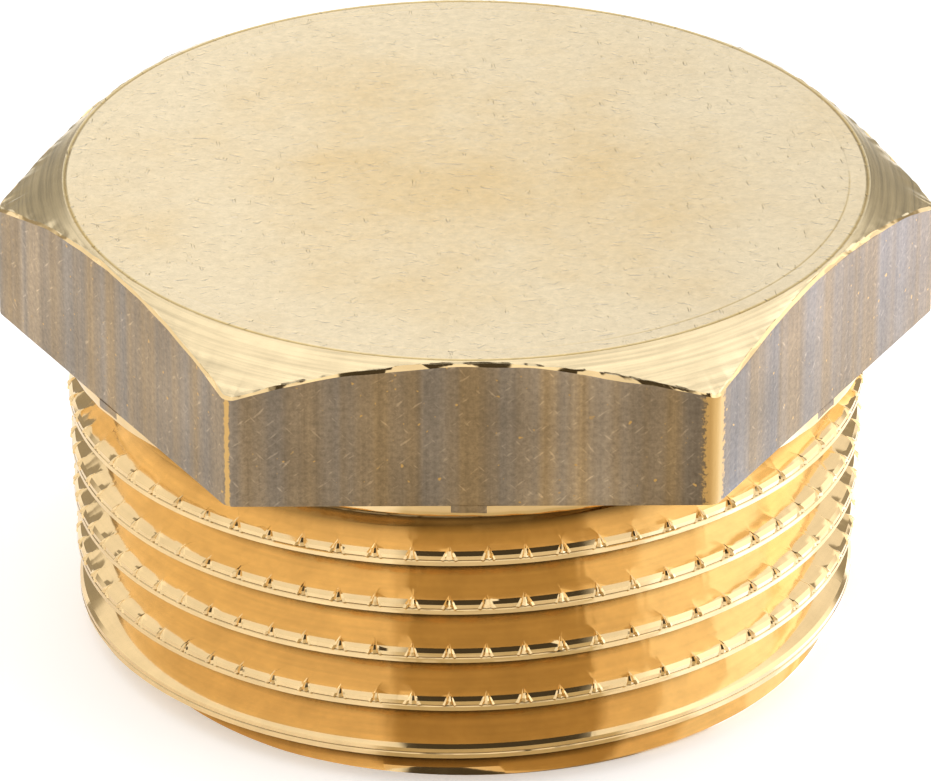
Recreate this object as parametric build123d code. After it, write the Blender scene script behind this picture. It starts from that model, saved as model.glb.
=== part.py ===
from build123d import *
from math import ceil, radians, tan
import os

# Hexagon pipe plug in brass, turned in one piece from drawn hexagon bar.
# Frame: millimetres, +Z up along the thread axis, origin in the middle of the thread end's plane.
# The plug stands on its thread end with the head up, and one flat of the hexagon faces -Y.

# Head, the bar's own hexagon
across_flats = 26.9
bar_edge_radius = 0.45
head_height = 5.12
top_face_inset = 0.16
top_chamfer_angle = 30.0

# Collar turned under the head, a hair wider than the flats, the face that a seal would press on
collar_height = 0.43
collar_overhang = 0.01

# Right-hand taper pipe thread, 14 turns to the inch with 55 degree flanks, up to a run-out neck
gauge_diameter = 26.441
gauge_length = 7.7
thread_taper = 1 / 16
thread_pitch = 1.814
thread_flank_angle = 27.5
thread_crest_flat = 0.42
thread_root_flat = 0.3
shank_length = 10.25
lead_chamfer = 0.8
neck_width = 0.6
neck_clearance = 0.05
first_crest_drop = 1.72

# Relief bore, blind from the thread end
shank_wall = 2.85
top_thickness = 5.8
bore_floor_chamfer = 0.5
bore_mouth_chamfer = 0.5

# Levels along the axis
collar_bottom = shank_length
head_bottom = collar_bottom + collar_height
head_top = head_bottom + head_height
bore_depth = head_top - top_thickness

# Thread section: straight flanks between a flat crest and a narrow flat root
flank_slope = tan(radians(thread_flank_angle))
groove_half_width = (thread_pitch - thread_crest_flat) / 2
root_half_width = thread_root_flat / 2
thread_depth = (groove_half_width - root_half_width) / flank_slope
groove_overcut = thread_crest_flat / 3

# The helix is counted from +X and reaches the front flat at -Y after three quarters of a turn
front_turn = 0.75
groove_start = collar_bottom - first_crest_drop + (0.5 - front_turn) * thread_pitch
sections_per_turn = 24


def crest_radius(height):
    """Radius of the thread's crests at a height, on the cone through the gauge diameter."""
    return gauge_diameter / 2 + (height - gauge_length) * thread_taper / 2


end_radius = crest_radius(0)
neck_radius = crest_radius(collar_bottom) - thread_depth - neck_clearance
bore_radius = end_radius - thread_depth - shank_wall


def make_bar(bottom, height):
    """Length of the drawn hexagon bar, with its edges softened by the drawing die."""
    outline = RegularPolygon(across_flats / 2, 6, major_radius=False)
    prism = extrude(Pos(0, 0, bottom) * outline, height)
    return fillet(prism.edges().filter_by(Axis.Z), bar_edge_radius)


def make_head():
    """Bar cut at the top by the cone of the turned chamfer."""
    top_radius = across_flats / 2 - top_face_inset
    rim_radius = across_flats
    rim_drop = (rim_radius - top_radius) * tan(radians(top_chamfer_angle))
    section = Polyline(
        (0, 0, head_top),
        (top_radius, 0, head_top),
        (rim_radius, 0, head_top - rim_drop),
        (rim_radius, 0, head_bottom - rim_drop),
        (0, 0, head_bottom - rim_drop),
        close=True,
    )
    turned = revolve(make_face(section), Axis.Z)
    return make_bar(head_bottom, head_height) & turned


def make_collar():
    """Low disc that stands past the flats by a hair, so the bar's flats just graze it."""
    disc = Circle(across_flats / 2 + collar_overhang)
    return extrude(Pos(0, 0, collar_bottom) * disc, collar_height) & make_bar(collar_bottom, collar_height)


def make_groove_section(turns):
    """The groove's section after some turns of the helix, in its plane through the axis."""
    height = groove_start + turns * thread_pitch
    mouth_radius = crest_radius(height) + groove_overcut
    mouth_half_width = groove_half_width + groove_overcut * flank_slope
    root_radius = crest_radius(height) - thread_depth
    section = Polyline(
        (mouth_radius, 0, height + mouth_half_width),
        (root_radius, 0, height + root_half_width),
        (root_radius, 0, height - root_half_width),
        (mouth_radius, 0, height - mouth_half_width),
        close=True,
    )
    return Rot(0, 0, 360 * turns) * make_face(section)


def make_groove_turn(first):
    """One turn of the thread's groove, lofted through its sections round the cone's helix."""
    return loft([make_groove_section(first + k / sections_per_turn) for k in range(sections_per_turn + 1)])


def make_shank():
    """Tapered shank with a lead chamfer and a run-out neck, and the thread cut into it turn by turn."""
    neck_bottom = collar_bottom - neck_width
    run_out = (crest_radius(neck_bottom) - neck_radius) * flank_slope
    section = Polyline(
        (0, 0, 0),
        (end_radius - lead_chamfer, 0, 0),
        (crest_radius(lead_chamfer), 0, lead_chamfer),
        (crest_radius(neck_bottom - run_out), 0, neck_bottom - run_out),
        (neck_radius, 0, neck_bottom),
        (neck_radius, 0, collar_bottom),
        (0, 0, collar_bottom),
        close=True,
    )
    blank = revolve(make_face(section), Axis.Z)
    turns_below = ceil((groove_start + groove_half_width) / thread_pitch)
    turns_above = ceil((collar_bottom + groove_half_width - groove_start) / thread_pitch)
    return blank - [make_groove_turn(k) for k in range(-turns_below, turns_above)]


def make_bore():
    """Blind bore with a chamfered mouth and a chamfered floor corner."""
    section = Polyline(
        (0, 0, 0),
        (bore_radius + bore_mouth_chamfer, 0, 0),
        (bore_radius, 0, bore_mouth_chamfer),
        (bore_radius, 0, bore_depth - bore_floor_chamfer),
        (bore_radius - bore_floor_chamfer, 0, bore_depth),
        (0, 0, bore_depth),
        close=True,
    )
    return revolve(make_face(section), Axis.Z)


plug_body = make_head() + make_collar() + make_shank() - make_bore()

os.makedirs("parts", exist_ok=True)
export_step(plug_body, "parts/plug_body.step")
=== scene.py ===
import math

import bmesh
import bpy
import numpy as np
from mathutils import Matrix, Vector


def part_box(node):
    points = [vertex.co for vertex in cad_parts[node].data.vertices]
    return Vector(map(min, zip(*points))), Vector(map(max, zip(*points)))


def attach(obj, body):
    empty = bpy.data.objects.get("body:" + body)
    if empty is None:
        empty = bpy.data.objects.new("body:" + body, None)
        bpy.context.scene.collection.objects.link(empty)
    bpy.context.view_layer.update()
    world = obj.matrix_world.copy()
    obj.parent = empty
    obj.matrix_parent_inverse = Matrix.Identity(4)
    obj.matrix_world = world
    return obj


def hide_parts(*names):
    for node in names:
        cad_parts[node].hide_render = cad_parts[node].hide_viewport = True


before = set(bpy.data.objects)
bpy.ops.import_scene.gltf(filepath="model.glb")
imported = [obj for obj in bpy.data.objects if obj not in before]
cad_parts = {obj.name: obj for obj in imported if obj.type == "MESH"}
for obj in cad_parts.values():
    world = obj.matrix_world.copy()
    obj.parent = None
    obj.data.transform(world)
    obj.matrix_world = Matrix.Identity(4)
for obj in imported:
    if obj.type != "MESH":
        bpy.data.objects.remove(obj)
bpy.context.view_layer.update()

# Head: a slice of drawn hexagon brass bar. The die leaves its six flats slightly wavy along the
# bar, with rounded corners, and the bar's dark oxide skin stays on them after the turning.
# Sizes are in mm, and the plug is drawn as rings of points round its axis.
rng = np.random.default_rng(27)
body_low, body_high = (np.array(corner) * 1000 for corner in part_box("plug_body"))
apothem = (body_high[1] - body_low[1]) / 2
head_top = body_high[2]
head_height = 5.12
head_bottom = head_top - head_height
bar_edge_radius = 0.45
die_wave = 0.003
top_face_inset = 0.16
top_radius = apothem - top_face_inset
chamfer_slope = math.tan(math.radians(30))
notches_per_turn = 68
columns_per_notch = 9
columns = notches_per_turn * columns_per_notch
side_columns = columns // 6
arc_columns = 5


def smooth_noise(count, width):
    """Random values round a closed ring, each averaged with its neighbours over a width in columns."""
    reach = np.minimum(np.arange(count), count - np.arange(count))
    window = np.exp(-0.5 * (reach / width) ** 2)
    values = np.fft.irfft(np.fft.rfft(rng.standard_normal(count)) * np.fft.rfft(window), count)
    return values / values.std()


def closed(ring):
    """The ring, or each row of rings, with its first column again at the end."""
    return np.concatenate([ring, ring[..., :1]], axis=-1)


def place(radius, angle, height):
    """Points at a radius, an angle and a height, row by row of the broadcast arrays."""
    radius, angle, height = np.broadcast_arrays(radius, angle, height)
    return np.stack([radius * np.cos(angle), radius * np.sin(angle), height], axis=-1)


def linear(code):
    """Linear colour of an sRGB hex code."""
    parts = [int(code[k:k + 2], 16) / 255 for k in (1, 3, 5)]
    return [part / 12.92 if part <= 0.04045 else ((part + 0.055) / 1.055) ** 2.4 for part in parts] + [1.0]


def node(tree, kind, inputs, **settings):
    """Adds a shader node with its settings, and returns its outputs. An input is a value or an output."""
    made = tree.nodes.new("ShaderNode" + kind)
    for key, value in settings.items():
        setattr(made, key, value)
    for key, value in inputs.items():
        if isinstance(value, bpy.types.NodeSocket):
            tree.links.new(value, made.inputs[key])
        else:
            made.inputs[key].default_value = value
    return made.outputs


def noise(tree, at, scale, detail, roughness=0.5):
    """Cloudy noise from 0 to 1 at points, with a number of clouds to a unit of their length."""
    inputs = {"Vector": at, "Scale": scale, "Detail": detail, "Roughness": roughness}
    return node(tree, "TexNoise", inputs)["Fac"]


def strokes(tree, at, turn, stretch):
    """Points turned by an angle and drawn together along it, so that noise there makes strokes."""
    inputs = {"Vector": at, "Rotation": (0, 0, turn), "Scale": (stretch, 1, 1)}
    return node(tree, "Mapping", inputs, vector_type="TEXTURE")["Vector"]


def mapped(tree, value, low, high, at_low=0.0, at_high=1.0, curve="LINEAR"):
    """Value that goes from at_low to at_high while the input goes from low to high."""
    inputs = {"Value": value, "From Min": low, "From Max": high, "To Min": at_low, "To Max": at_high}
    return node(tree, "MapRange", inputs, interpolation_type=curve)["Result"]


def blend(tree, value, low, high):
    """Smooth mask from 0 at one value to 1 at another."""
    return mapped(tree, value, low, high, curve="SMOOTHSTEP")


def added(tree, first, second):
    """Sum of two values."""
    return node(tree, "Math", {0: first, 1: second}, operation="ADD")[0]


def product(tree, first, second):
    """Product of two values; of two masks, the mask where they meet."""
    return node(tree, "Math", {0: first, 1: second}, operation="MULTIPLY")[0]


def mixed(tree, mask, first, second):
    """Colour that is the first where a mask is 0 and the second where it is 1."""
    return node(tree, "Mix", {0: mask, 6: first, 7: second}, data_type="RGBA")[2]


def metal(name, roughness):
    """A metal material, with its node tree and its shader's inputs."""
    material = bpy.data.materials.new(name)
    material.use_nodes = True
    inputs = material.node_tree.nodes["Principled BSDF"].inputs
    inputs["Metallic"].default_value = 1.0
    inputs["Roughness"].default_value = roughness
    return material, material.node_tree, inputs


def dress(tree, inputs, colour, height, strength, depth):
    """Gives a metal its colour, and from a height a bump of a strength and a depth in m."""
    tree.links.new(colour, inputs["Base Color"])
    bump = node(tree, "Bump", {"Height": height, "Strength": strength, "Distance": depth})["Normal"]
    tree.links.new(bump, inputs["Normal"])


corner_stops = [0, arc_columns, side_columns - arc_columns, side_columns]
half_side = (apothem - bar_edge_radius) * math.tan(math.radians(30))
step = np.arange(side_columns)
along = np.interp(step, corner_stops, [-half_side, -half_side, half_side, half_side])
lean = np.radians(np.interp(step, corner_stops, [-30, 0, 0, 30]))
side_along = np.tile(along + bar_edge_radius * np.sin(lean), 6)
side_out = np.tile(apothem - bar_edge_radius + bar_edge_radius * np.cos(lean), 6)
side_number = np.arange(columns) // side_columns
side_turn = np.radians(30 + 60 * side_number)
side_out = side_out - die_wave * np.clip(1 + 0.6 * smooth_noise(columns, 1.0), 0, 2.2)
hex_radius = closed(np.hypot(side_out, side_along))
hex_angle = np.unwrap(closed(side_turn + np.arctan2(side_along, side_out)))
edge_height = head_top - (hex_radius - top_radius) * chamfer_slope

# The flat's rows run down from the burred edge under the chamfer to the softened lower edge
burr_depth = 0.02
under_top = 0.002
lower_edge_inset = 0.012
burr_drop = closed(np.array([smooth_noise(columns, width) for width in (0.8, 1.2, 2.5)]))
edge_inset = np.array([[0.120], [0.085], [0.008], [0.0]])
edge_drop = np.array([[-0.069], [-0.037], [0.07], [0.13]])
edge_drop = edge_drop + burr_depth * np.concatenate([burr_drop, 0 * burr_drop[:1]])
edge_level = np.minimum(edge_height - edge_drop, head_top - under_top)
edge_points = place(hex_radius - edge_inset, hex_angle, edge_level)
flat_rows = np.array([0.05, 0.12, 0.25, 0.4, 0.55, 0.7, 0.82, 0.92, 0.985, 1.0])[:, None]
flat_height = edge_height + (head_bottom - edge_height) * flat_rows
flat_dent = closed(np.array([smooth_noise(columns, 5) for _ in flat_rows])) * die_wave
flat_dent[-2:] = [[0.0], [lower_edge_inset]]
flat_points = place(hex_radius - flat_dent, hex_angle, flat_height)

# Bare brass shows where the skin is rubbed off the corners
corner_wear = np.array([0.2, 0.16, 0.2, 0.16, 0.13, 0.5])
wear_start = 0.25
to_corner = np.minimum(side_along + half_side, half_side - side_along) + wear_start
nearest_corner = (np.arange(columns) + side_columns // 2) // side_columns % 6
bare = closed(np.exp(-(np.maximum(to_corner, 0) / corner_wear[nearest_corner]) ** 2))

# Painted shade: each flat is painted its own level, darker on the flats that face the front, and die lines
# leave strips: side, middle, half width and gain in level
flat_painted_shade = np.array([0.8, 0.75, 0.8, 0.72, 0.64, 0.6])
strips = (
    (3, -5.15, 0.45, 0.35), (3, -5.95, 0.1, 0.5),
    (4, 3.2, 1.7, 0.5), (4, 7.1, 0.5, -0.2),
    (5, -6.5, 1.5, -0.1),
)
shade_and_streaks = flat_painted_shade[side_number]
for side, middle, half_width, gain in strips:
    shade_and_streaks = shade_and_streaks * (1 + gain * (side_number == side) * np.exp(-((side_along - middle) / half_width) ** 4))
shade_and_streaks = closed(shade_and_streaks)

# Oxide skin: vertical die streaks in tan and blue-grey, a fine mottle, short slanting scratches, and
# nicks down to bare brass. Its noise lies on the unrolled bar, in mm.
skin_grey = linear("#A89987")
skin_tan = linear("#B59A74")
bare_brass = linear("#CDA566")
bar_along = closed(side_along + 2 * (half_side + bar_edge_radius / 2) * side_number)
drawn, drawn_tree, drawn_inputs = metal("brass bar, drawn and oxidised", 0.4)
drawn_at = node(drawn_tree, "Attribute", {}, attribute_name="bar")["Vector"]
drawn_drag = node(drawn_tree, "Mapping", {"Vector": drawn_at, "Scale": (1, 0.01, 1)})["Vector"]
drawn_wide = noise(drawn_tree, drawn_drag, 1 / 1.3, 2.0)
drawn_fine = noise(drawn_tree, drawn_drag, 1 / 0.25, 3.0, 0.6)
drawn_mottle = noise(drawn_tree, drawn_at, 1 / 0.16, 4.0, 0.7)
drawn_cloud = noise(drawn_tree, drawn_at, 1 / 3.0, 3.0)
drawn_band = mapped(drawn_tree, drawn_wide, 0.4, 0.6)
drawn_colour = mixed(drawn_tree, drawn_band, skin_grey, skin_tan)
# Painted shade: the flat's level, painted darker on the flats that face the front, with the die strips on it
drawn_level = node(drawn_tree, "Attribute", {}, attribute_name="shade_and_streaks")["Fac"]
for value, reach in ((drawn_fine, 0.16), (drawn_mottle, 0.28), (drawn_cloud, 0.16)):
    factor = mapped(drawn_tree, value, 0.25, 0.75, 1 - reach, 1 + reach)
    drawn_level = product(drawn_tree, drawn_level, factor)
for turn, least in ((0.7, 0.66), (-0.8, 0.68)):
    drawn_lie = strokes(drawn_tree, drawn_at, turn, 4.5)
    drawn_mark = noise(drawn_tree, drawn_lie, 1 / 0.13, 1.0)
    drawn_mark = mapped(drawn_tree, drawn_mark, least, least + 0.1, 1.0, 1.5)
    drawn_level = product(drawn_tree, drawn_level, drawn_mark)
drawn_colour = node(drawn_tree, "HueSaturation", {"Color": drawn_colour, "Value": drawn_level})["Color"]
drawn_bare = node(drawn_tree, "Attribute", {}, attribute_name="bare")["Fac"]
drawn_ragged = mapped(drawn_tree, drawn_mottle, 0.25, 0.75, -0.35, 0.35)
drawn_bare = blend(drawn_tree, added(drawn_tree, drawn_bare, drawn_ragged), 0.42, 0.62)
drawn_nick = mapped(drawn_tree, noise(drawn_tree, drawn_at, 1 / 0.25, 1.0), 0.72, 0.77)
drawn_bare = node(drawn_tree, "Math", {0: drawn_bare, 1: drawn_nick}, operation="MAXIMUM")[0]
drawn_colour = mixed(drawn_tree, drawn_bare, drawn_colour, bare_brass)
dress(drawn_tree, drawn_inputs, drawn_colour, added(drawn_tree, drawn_fine, drawn_mottle), 0.4, 2e-5)

# Top: faced in the lathe to a satin surface and then nicked in the tumbling barrel. The facing
# leaves two fine lines, one at the rim and one a little inside it, that are coloured darker and browner.
ring_radius = 12.6
rim_line_radius = top_radius - 0.08
top_profile = np.array([
    (0.0, 0.0), (4.0, 0.0), (8.0, 0.0), (11.5, 0.0),
    (ring_radius - 0.12, 0.0), (ring_radius - 0.05, 0.0), (ring_radius, 0.012),
    (ring_radius + 0.05, 0.002), (ring_radius + 0.12, 0.002),
    (top_radius - 0.24, 0.002), (top_radius - 0.16, 0.002), (rim_line_radius, 0.032), (top_radius, 0.004),
])
top_points = place(top_profile[:, :1], hex_angle, head_top - top_profile[:, 1:])


def axis_distance(tree, at):
    """Distance of points from the plug's axis."""
    flat = node(tree, "VectorMath", {0: at, 1: (1, 1, 0)}, operation="MULTIPLY")["Vector"]
    return node(tree, "VectorMath", {0: flat}, operation="LENGTH")["Value"]


# Satin brass: pale at the rim and cloudy gold in the middle, with a fine grain and nicks lying all ways
satin_pale = linear("#E8D6B2")
satin_gold = linear("#DEBF86")
faced, faced_tree, faced_inputs = metal("brass, faced and tumbled", 0.26)
faced_at = node(faced_tree, "TexCoord", {})["Object"]
faced_cloud = noise(faced_tree, faced_at, 1000 / 7.0, 5.0, 0.6)
faced_grain = noise(faced_tree, faced_at, 1000 / 0.28, 3.0, 0.7)
faced_middle = mapped(faced_tree, axis_distance(faced_tree, faced_at), 0.0, 0.0125, 0.55, 0.25)
faced_gold = blend(faced_tree, added(faced_tree, faced_cloud, faced_middle), 0.66, 1.32)
faced_colour = mixed(faced_tree, faced_gold, satin_pale, satin_gold)
faced_level = mapped(faced_tree, faced_grain, 0.25, 0.75, 0.9, 1.08)
# Painted shade: the top is painted darker towards its right side
faced_side_shade = node(faced_tree, "SeparateXYZ", {0: faced_at})["X"]
faced_side_shade = mapped(faced_tree, faced_side_shade, -0.008, 0.008, 1.01, 0.93)
faced_level = product(faced_tree, faced_level, faced_side_shade)
# The two fine lines are made darker and browner
faced_dark_lines = node(faced_tree, "Attribute", {}, attribute_name="painted_shade_and_dark_lines")["Fac"]
faced_level = product(faced_tree, faced_level, faced_dark_lines)
faced_brown = mapped(faced_tree, faced_dark_lines, 0.5, 1.0, 1.7, 1.0)
faced_shade = {"Color": faced_colour, "Value": faced_level, "Saturation": faced_brown}
faced_colour = node(faced_tree, "HueSaturation", faced_shade)["Color"]
faced_height = faced_grain
for turn, size, least in ((0.6, 0.2, 0.65), (1.7, 0.24, 0.66), (2.7, 0.22, 0.65), (0.1, 0.4, 0.68)):
    faced_lie = strokes(faced_tree, faced_at, turn, 2.5)
    faced_nick = noise(faced_tree, faced_lie, 1000 / size, 1.0)
    faced_nick = mapped(faced_tree, faced_nick, least, least + 0.12, 0.0, -3.0)
    faced_height = added(faced_tree, faced_height, faced_nick)
dress(faced_tree, faced_inputs, faced_colour, faced_height, 0.5, 1.5e-5)

# Chamfer: the cone that the lathe cuts over the six corners, with the tool's feed left as rings.
# A smoother turned brass shows on the collar, the thread and the end.
chamfer_fractions = np.array([0.03, 0.25, 0.5, 0.75])[:, None]
chamfer_reach = hex_radius - edge_inset[0]
chamfer_radius = top_radius + (chamfer_reach - top_radius) * chamfer_fractions
chamfer_points = place(chamfer_radius, hex_angle, head_top - (chamfer_radius - top_radius) * chamfer_slope)


def turned_metal(name, roughness, colour, feed, depth, line_shade):
    """Turned brass: lines at the tool's feed in mm round the axis, of a depth in m, that change slowly
    round the turn and are darker in their valleys by a shade. On the thread, painted shade darkens the
    roots, the fine lines and the neck."""
    material, tree, inputs = metal(name, roughness)
    at = node(tree, "TexCoord", {})["Object"]
    axes = node(tree, "SeparateXYZ", {0: at})
    slow = [product(tree, axes[axis], 0.03) for axis in ("X", "Y")]
    lie = node(tree, "CombineXYZ", {"X": axis_distance(tree, at), "Y": axes["Z"], "Z": slow[0]})[0]
    feed_lines = {"Vector": lie, "W": slow[1], "Scale": 1000 / feed, "Detail": 2.0}
    lines = node(tree, "TexNoise", feed_lines, noise_dimensions="4D")["Fac"]
    stain = noise(tree, at, 1000 / 1.2, 5.0, 0.65)
    level = mapped(tree, stain, 0.3, 0.7, 0.92, 1.06)
    # Painted shade: the attribute paints the thread darker in its roots, fine lines and neck
    level = product(tree, level, node(tree, "Attribute", {}, attribute_name="painted_shade_and_dark_lines")["Fac"])
    level = product(tree, level, mapped(tree, lines, 0.3, 0.6, 1 - line_shade, 1.0))
    shade = node(tree, "HueSaturation", {"Color": linear(colour), "Value": level})["Color"]
    dress(tree, inputs, shade, lines, 0.5, depth)
    return material


# A broad tool leaves the chamfer softly brushed; a fine one leaves the thread almost a mirror
chamfered = turned_metal("brass, turned with a broad chamfer tool", 0.22, "#EBD6AC", 0.15, 0.5e-5, 0.3)
turned = turned_metal("brass, turned", 0.08, "#ECCC96", 0.18, 0.2e-5, 0.06)

# Collar: turned under the head. It is a hair wider than the flats, so the bar's skin shows on it
# only as a narrow tab in the middle of each side.
collar_bottom = 10.25
collar_radius = apothem + 0.01
collar_ripple = 0.006
collar_reach = np.minimum(collar_radius, hex_radius) + closed(collar_ripple * smooth_noise(columns, 1.5))
tab_half_width = 0.57
tab_along = -0.16

# Height of each row, its inset from the collar's reach and how wavy it is
collar_profile = np.array([
    (head_bottom, 0.0, 0.0), (head_bottom - 0.14, 0.0, 0.0), (head_bottom - 0.25, 0.004, 0.012),
    (head_bottom - 0.34, 0.02, 0.012), (collar_bottom, 0.12, 0.0),
])
collar_level, collar_inset, collar_wave = collar_profile.T[:, :, None]
collar_level = collar_level + collar_wave * closed(smooth_noise(columns, 1.2))
collar_points = place(collar_reach - collar_inset, hex_angle, collar_level)

# Thread: R 3/4 taper pipe thread cut by a single-point tool. A toothed wheel then notches its
# crests, so that a sealing cord grips, and leaves rows of small arches with raised lips.
gauge_radius = 26.441 / 2
gauge_length = 7.7
radius_taper = 1 / 32
pitch = 1.814
crest_height = 8.53
front_angle = math.radians(270)
neck_bottom = 9.7
neck_depth = 1.1008
lead_chamfer = 0.8
flank_slope = math.tan(math.radians(27.5))
neck_radius = gauge_radius + (collar_bottom - gauge_length) * radius_taper - neck_depth
lead_radius = gauge_radius - gauge_length * radius_taper - lead_chamfer
turn_numbers = np.arange(-2, 6)

# Height above the crest's middle and depth below its surface, from one root to the next. The crest
# has a bevel above, a fine line and a flat land below.
line_depth = 0.060
profile = np.array([
    (0.942, 1.270), (0.905, 1.215), (0.860, 1.133), (0.760, 0.941), (0.560, 0.557), (0.420, 0.288),
    (0.330, 0.129), (0.265, 0.078), (0.200, 0.026), (0.130, 0.020), (0.075, 0.014), (0.045, line_depth),
    (0.000, 0.014), (-0.030, 0.012), (-0.080, 0.006), (-0.135, 0.000), (-0.150, 0.020),
    (-0.345, 0.384), (-0.645, 0.960), (-0.790, 1.238),
])
profile_height, profile_depth = profile.T


def thread_radius(angle, height):
    """Radius of the tapered thread at an angle and a height: the crest's cone less the profile's depth,
    held within the lead chamfer below and the run-out cone above."""
    phase = (height - crest_height) / pitch - (angle - front_angle) / (2 * math.pi)
    from_crest = (phase - np.round(phase)) * pitch
    root = profile_depth[0]
    depth = np.interp(from_crest, profile_height[::-1], profile_depth[::-1], left=root, right=root)
    crest = gauge_radius + (height - gauge_length) * radius_taper
    run_out = neck_radius + np.maximum(neck_bottom - height, 0) / flank_slope
    return np.minimum(np.minimum(crest - depth, lead_radius + height), run_out)


# Each notch has nine columns: its middle, and four to each side at the offsets and rises given here
notch_apex = 0.44
notch_base = 0.05
notch_offsets = np.array([0.0, 0.11, 0.20, 0.29, 0.0])
notch_rises = np.array([0.02, -0.04, 0.05, 0.0, 0.0])
notch_angle = math.radians(267)
notch_edge = columns_per_notch // 2
last_notched_turn = 3.5
column = np.arange(columns + 1)
notch_index = column // columns_per_notch
notch_place = column % columns_per_notch - notch_edge
notch_step = 2 * math.pi / notches_per_turn
first_notch = (notch_angle % notch_step) - notch_step
notch_centre = first_notch + notch_index * notch_step
plain_angle = notch_centre + notch_place * notch_step / columns_per_notch

# The profile's rows climb round the axis with the helix, and stop at the end and at the neck
end_margin = 0.02
row_turn = np.repeat(turn_numbers, len(profile))[:, None]
row_height = np.tile(profile_height, len(turn_numbers))[:, None]
row_depth = np.tile(profile_depth, len(turn_numbers))[:, None]
helix_climb = pitch * (plain_angle - front_angle) / (2 * math.pi)
helix_height = crest_height - row_turn * pitch + row_height + helix_climb
inside = (helix_height > end_margin) & (helix_height < neck_bottom - end_margin)
helix_height = np.clip(helix_height, 0, neck_bottom)

# The wheel's teeth leave arches that narrow towards their upper end: two raised lips, a pit inside each
# and a ridge between. No two are quite alike, and the lowest turn is too small for the wheel.
cut_number = notch_index - notches_per_turn * row_turn
cut_number = cut_number - cut_number.min()
cut_count = cut_number.max() + 1
cut_size = np.clip(1 + 0.09 * rng.standard_normal(cut_count), 0.75, 1.25)[cut_number]
cut_shift = (0.02 * rng.standard_normal(cut_count))[cut_number]
cut_burr = rng.uniform(0.75, 1.2, (2, cut_count))
cut_burr = np.where(notch_place < 0, cut_burr[0][cut_number], cut_burr[1][cut_number])
cut_fraction = np.clip((notch_apex - row_height) / (notch_apex - notch_base), 0, 1)
turns_down = row_turn - (plain_angle - front_angle) / (2 * math.pi)
cut_reach = np.clip((last_notched_turn - turns_down) / 0.1, 0, 1)
in_cut = (row_height >= notch_base) & (row_height < notch_apex) & inside
cut_spread = np.where(in_cut, cut_size * np.maximum(cut_fraction, 0.02) ** 0.7, 1.0)
edge_offset = 0.8 * notch_step * gauge_radius / 2
side_place = np.abs(notch_place)
offset = np.where(side_place == notch_edge, edge_offset, notch_offsets[side_place] * cut_spread)
offset = np.sign(notch_place) * offset + cut_shift * np.clip(1 - side_place / notch_edge, 0, 1)
thread_angle = np.where(inside, notch_centre + offset / gauge_radius, plain_angle)
rise = np.where(in_cut, notch_rises[side_place] * cut_burr * np.sqrt(cut_fraction) * cut_reach, 0)
offset_climb = pitch * (thread_angle - plain_angle) / (2 * math.pi)
thread_height = np.where(inside, helix_height + offset_climb, helix_height)
rough = np.where(inside & (row_depth < 0.02), 0.002, 0.0005) * rng.standard_normal(cut_number.shape)
rough[:, [0, -1]] = 0
radius = thread_radius(thread_angle, thread_height)
full_radius = gauge_radius + (thread_height - gauge_length) * radius_taper - row_depth
rise = np.where(radius > full_radius - 0.02, rise, 0)
thread_points = place(radius + rise + np.where(inside, rough, 0), thread_angle, thread_height)

# Painted shade: the roots, the fine lines and the neck are painted darker, where shade falls; 1 is unshaded
# brass
thread_painted_shade = np.interp(row_depth, [1.14, 1.215, 1.27], [1.0, 0.5, 0.25])
thread_painted_shade[row_depth == line_depth] = 0.35
neck_painted_shade = np.interp(helix_height, [neck_bottom - 0.35, neck_bottom - 0.05], [1.0, 0.25])
thread_painted_shade = np.where(helix_height < end_margin, 1.0, np.minimum(thread_painted_shade, neck_painted_shade))

# Run-out neck: the cone left by the tool where it is drawn out of the cut under the collar. Each row
# has its radius past the neck's, its drop below the collar and its painted shade, darker under the collar.
neck_profile = np.array([(1.05, 0.0, 1.0), (0.7, 0.18, 1.0), (0.3, 0.39, 0.8), (0.0, 0.55, 0.25)])
neck_reach, neck_drop, cone_painted_shade = neck_profile.T[:, :, None]
neck_points = place(neck_radius + neck_reach, plain_angle, collar_bottom - neck_drop)

# Thread end and relief bore: faced flat, with a blind drilled bore that saves brass. Both are
# hidden from the front.
bore_radius = 9.079
bore_depth = 10.0
bore_chamfer = 0.5
bore_profile = np.array([
    (bore_radius + bore_chamfer, 0.0), (bore_radius, bore_chamfer), (bore_radius, bore_depth - bore_chamfer),
    (bore_radius - bore_chamfer, bore_depth), (4.0, bore_depth), (0.0, bore_depth),
])
end_points = place(bore_profile[:, :1], plain_angle, bore_profile[:, 1:])

# The plug as one closed skin: the rings above follow each other from the middle of the top, over
# the head and down the thread, to the floor of the bore.
parts = [
    top_points, chamfer_points, edge_points[:2], np.concatenate([edge_points[2:], flat_points]),
    collar_points, np.concatenate([neck_points, thread_points, end_points]),
]
materials = [faced, turned, drawn, chamfered]
in_faced, in_turned, in_drawn, in_chamfered = range(len(materials))
part_material = [in_faced, in_chamfered, in_chamfered, in_drawn, in_turned, in_turned]
rows = np.concatenate(parts)
first_rows = np.cumsum([0] + [len(part) for part in parts])
band_material = np.repeat(part_material, [len(part) for part in parts])[1:]
face_material = np.repeat(band_material[:, None], columns, axis=1)

# The bare edge under the chamfer is turned brass, and the tabs on the collar keep the bar's skin
face_material[first_rows[3] - 1] = in_turned
tab_bands = slice(first_rows[4] - 1, first_rows[4] + 2)
on_tab = np.abs(side_along - tab_along) < tab_half_width
face_material[tab_bands] = np.where(on_tab, in_drawn, in_turned)

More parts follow.
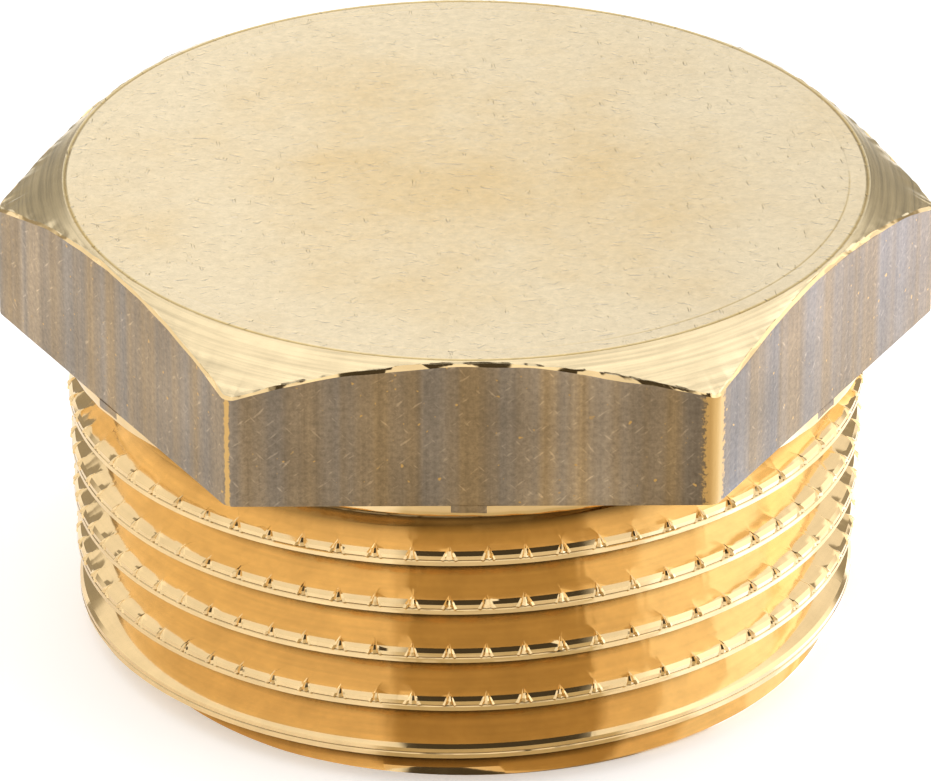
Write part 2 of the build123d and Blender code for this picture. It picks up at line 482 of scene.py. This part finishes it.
# What the materials read at each point: bare brass, the flat's painted shade with its die strips, the
# thread's painted shade and the top's darker lines, and the place on the bar
row_bare = np.zeros(rows.shape[:2])
row_shade_and_streaks = np.ones(rows.shape[:2])
row_shade_and_dark_lines = np.ones(rows.shape[:2])
row_bar = np.zeros(rows.shape)
row_bare[first_rows[2]:first_rows[4]] = bare
row_shade_and_streaks[first_rows[2]:first_rows[5]] = shade_and_streaks
ring_row, rim_row = (np.argmin(np.abs(top_profile[:, 0] - at)) for at in (ring_radius, rim_line_radius))
# The rim line is darker all round, and the inner line only round the front right
row_shade_and_dark_lines[rim_row] = 0.6
row_shade_and_dark_lines[ring_row] = 1 - 0.3 * np.exp(-((hex_angle - math.radians(325)) / 0.6) ** 4)
# Painted shade on the run-out neck and the thread
cone_painted_shade = np.tile(cone_painted_shade, columns + 1)
row_shade_and_dark_lines[first_rows[5]:-len(end_points)] = np.concatenate([cone_painted_shade, thread_painted_shade])
row_bar[first_rows[2]:first_rows[5], :, 0] = bar_along
row_bar[..., 1] = rows[..., 2]


def add_skin(name, rows, face_material, attributes, materials):
    """One closed mesh from rows of points in mm, each row joined to the next by a band of quads."""
    count, width = rows.shape[:2]
    number = np.arange(count * width).reshape(count, width)
    corners = [number[:-1, :-1], number[1:, :-1], number[1:, 1:], number[:-1, 1:]]
    quads = np.stack(corners, axis=-1).reshape(-1, 4)
    mesh = bpy.data.meshes.new(name)
    mesh.from_pydata((rows.reshape(-1, 3) / 1000).tolist(), [], quads.tolist())
    mesh.polygons.foreach_set("material_index", face_material.ravel().astype(np.int32))
    for key, values in attributes.items():
        kind, field = ("FLOAT_VECTOR", "vector") if values.ndim == 3 else ("FLOAT", "value")
        attribute = mesh.attributes.new(key, kind, "POINT")
        attribute.data.foreach_set(field, values.ravel().astype(np.float32))
    skin = bmesh.new()
    skin.from_mesh(mesh)
    bmesh.ops.remove_doubles(skin, verts=skin.verts, dist=2e-6)
    skin.to_mesh(mesh)
    skin.free()
    mesh.polygons.foreach_set("use_smooth", np.ones(len(mesh.polygons), dtype=bool))
    mesh.set_sharp_from_angle(angle=math.radians(20))
    for material in materials:
        mesh.materials.append(material)
    piece = bpy.data.objects.new(name, mesh)
    bpy.context.scene.collection.objects.link(piece)
    return piece


attributes = {"bare": row_bare, "shade_and_streaks": row_shade_and_streaks, "painted_shade_and_dark_lines": row_shade_and_dark_lines, "bar": row_bar}
plug = add_skin("plug", rows, face_material, attributes, materials)
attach(plug, "root")
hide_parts("plug_body")

# Floor: white paper under the plug. To the camera it is plain white; in the brass it shows painted
# shade in front, where the tent is open, a painted shadow near the plug, and painted light brightest at the
# right.
floor_half = 1.5
floor_opening = ((-18, -13), (29, 25))
floor_right = ((39, 43), (59, 63), (82, 90))
floor_mesh = bpy.data.meshes.new("floor")
floor_corners = [(x * floor_half, y * floor_half, 0) for x, y in ((-1, -1), (1, -1), (1, 1), (-1, 1))]
floor_mesh.from_pydata(floor_corners, [], [(0, 1, 2, 3)])


def bearing_masks(tree, direction, edges):
    """Masks from a direction's bearing round the plug, in degrees from the front towards the right.
    Each goes from 0 to 1 between its two edges. The direction's share backwards and its share to
    the right come last."""
    flat = node(tree, "VectorMath", {0: direction, 1: (1, 1, 0)}, operation="MULTIPLY")["Vector"]
    flat = node(tree, "VectorMath", {0: flat}, operation="NORMALIZE")["Vector"]
    axes = node(tree, "SeparateXYZ", {0: flat})
    front = product(tree, axes["Y"], -1.0)
    bearing = node(tree, "Math", {0: axes["X"], 1: front}, operation="ARCTAN2")[0]
    masks = [blend(tree, bearing, math.radians(low), math.radians(high)) for low, high in edges]
    return masks, axes["Y"], axes["X"]


# White paper: matt, with no gloss. To the camera it is white, so that the plug's soft shadow is all that
# shows on it; in the brass it is painted darker in front.
paper_white = (0.95, 0.95, 0.95, 1)
# Painted shade in front of the plug, seen only in the brass: a painted shadow near it and darker paper
# farther out
painted_shadow_near = (0.62, 0.55, 0.39, 1)
painted_shade_far = (0.75, 0.69, 0.58, 1)
paper = bpy.data.materials.new("white paper with painted shade and glow")
paper.use_nodes = True
paper_tree = paper.node_tree
paper_inputs = paper_tree.nodes["Principled BSDF"].inputs
paper_inputs["Roughness"].default_value = 1.0
paper_inputs["Specular IOR Level"].default_value = 0.0
paper_inputs["Emission Strength"].default_value = 1.0
paper_at = node(paper_tree, "TexCoord", {})["Object"]
paper_masks, _, paper_side = bearing_masks(paper_tree, paper_at, floor_opening + floor_right)
paper_opening = product(paper_tree, *paper_masks[:2])
paper_reach = node(paper_tree, "VectorMath", {0: paper_at}, operation="LENGTH")["Value"]
paper_far = blend(paper_tree, paper_reach, 0.0245, 0.028)
paper_near = blend(paper_tree, paper_reach, 0.042, 0.034)
paper_beyond = blend(paper_tree, paper_reach, 0.031, 0.037)
paper_beyond = product(paper_tree, paper_beyond, blend(paper_tree, paper_reach, 0.12, 0.08))
paper_ahead = blend(paper_tree, paper_side, 0.4, 0.55)
paper_seen = node(paper_tree, "LightPath", {})["Is Camera Ray"]
# Painted shade: the paper in front is painted darker, most of all near the plug, except to the camera
paper_painted_shade = mixed(paper_tree, paper_far, painted_shadow_near, painted_shade_far)
paper_colour = mixed(paper_tree, paper_opening, paper_white, paper_painted_shade)
paper_colour = mixed(paper_tree, paper_seen, paper_colour, paper_white)
paper_tree.links.new(paper_colour, paper_inputs["Base Color"])

# Painted light: the paper glows, though it is no lamp, in steps towards the right, brighter and cooler
paper_painted_glow = (0.17, 0.17, 0.17, 1)
for mask, reach, colour in (
    (paper_masks[2], paper_near, (0.5, 0.65, 1.0, 1)),
    (paper_masks[3], paper_near, (0.85, 1.25, 2.1, 1)),
    (paper_masks[4], paper_near, (0.7, 0.7, 0.72, 1)),
    (paper_masks[4], paper_beyond, (1.25, 1.4, 1.9, 1)),
):
    mask = product(paper_tree, product(paper_tree, mask, reach), paper_ahead)
    paper_painted_glow = mixed(paper_tree, mask, paper_painted_glow, colour)
for mask, colour in ((paper_opening, (0, 0, 0, 1)), (paper_seen, (0.25, 0.25, 0.25, 1))):
    paper_painted_glow = mixed(paper_tree, mask, paper_painted_glow, colour)
paper_tree.links.new(paper_painted_glow, paper_inputs["Emission Color"])
floor_mesh.materials.append(paper)
floor = bpy.data.objects.new("floor", floor_mesh)
bpy.context.scene.collection.objects.link(floor)

# Light: a white tent over the plug, with a dark opening high in front, dark low down at both sides
# of the back, and with a bright roof and a cool bright wall at the right.
world = bpy.data.worlds.new("light tent")
bpy.context.scene.world = world
world.use_nodes = True
tent = world.node_tree
tent_way = node(tent, "TexCoord", {})["Generated"]
tent_rise = node(tent, "SeparateXYZ", {0: tent_way})["Z"]
tent_masks, tent_depth, tent_side = bearing_masks(tent, tent_way, ((-25, -21), (39, 35)))
tent_opening = product(tent, product(tent, *tent_masks), blend(tent, tent_rise, 0.86, 0.8))
tent_opening = product(tent, tent_opening, blend(tent, tent_rise, 0.5, 0.6))
tent_aside = node(tent, "Math", {0: tent_side}, operation="ABSOLUTE")[0]
tent_back = product(tent, blend(tent, tent_depth, 0.55, 0.65), blend(tent, tent_aside, 0.2, 0.3))
tent_back = product(tent, tent_back, blend(tent, tent_rise, 0.42, 0.38))
tent_right = blend(tent, tent_side, 0.75, 0.9)
tent_roof = blend(tent, tent_rise, 0.7, 0.9)
tent_seen = node(tent, "LightPath", {})["Is Camera Ray"]
tent_colour = (1.1, 1.1, 1.1, 1)
for mask, colour in (
    (tent_right, (1.75, 1.75, 1.8, 1)),
    (tent_roof, (1.33, 1.33, 1.33, 1)),
    (tent_back, (0.42, 0.4, 0.35, 1)),
    (tent_opening, (0.07, 0.06, 0.045, 1)),
    (tent_seen, (1, 1, 1, 1)),
):
    tent_colour = mixed(tent, mask, tent_colour, colour)
tent.links.new(tent_colour, tent.nodes["Background"].inputs["Color"])

# Camera: a long lens about a quarter of a metre away, turned just off the front flat.
lens = bpy.data.cameras.new("camera")
lens.sensor_fit = "HORIZONTAL"
lens.sensor_width = 36.0
lens.lens = 296.25
lens.clip_start = 0.01
lens.clip_end = 20.0
camera = bpy.data.objects.new("camera", lens)
bpy.context.scene.collection.objects.link(camera)
aim = Vector((0, 0, 0.007655))
camera_distance = 0.255859
camera_turn = math.radians(0.865)
camera_rise = math.radians(28.08)
camera_roll = math.radians(0.213)
toward = Vector((
    -math.sin(camera_turn) * math.cos(camera_rise),
    -math.cos(camera_turn) * math.cos(camera_rise),
    math.sin(camera_rise),
))
camera.matrix_world = (
    Matrix.Translation(aim + camera_distance * toward)
    @ toward.to_track_quat("Z", "Y").to_matrix().to_4x4()
    @ Matrix.Rotation(camera_roll, 4, "Z")
)
bpy.context.scene.camera = camera
bpy.context.scene.view_settings.view_transform = "Standard"
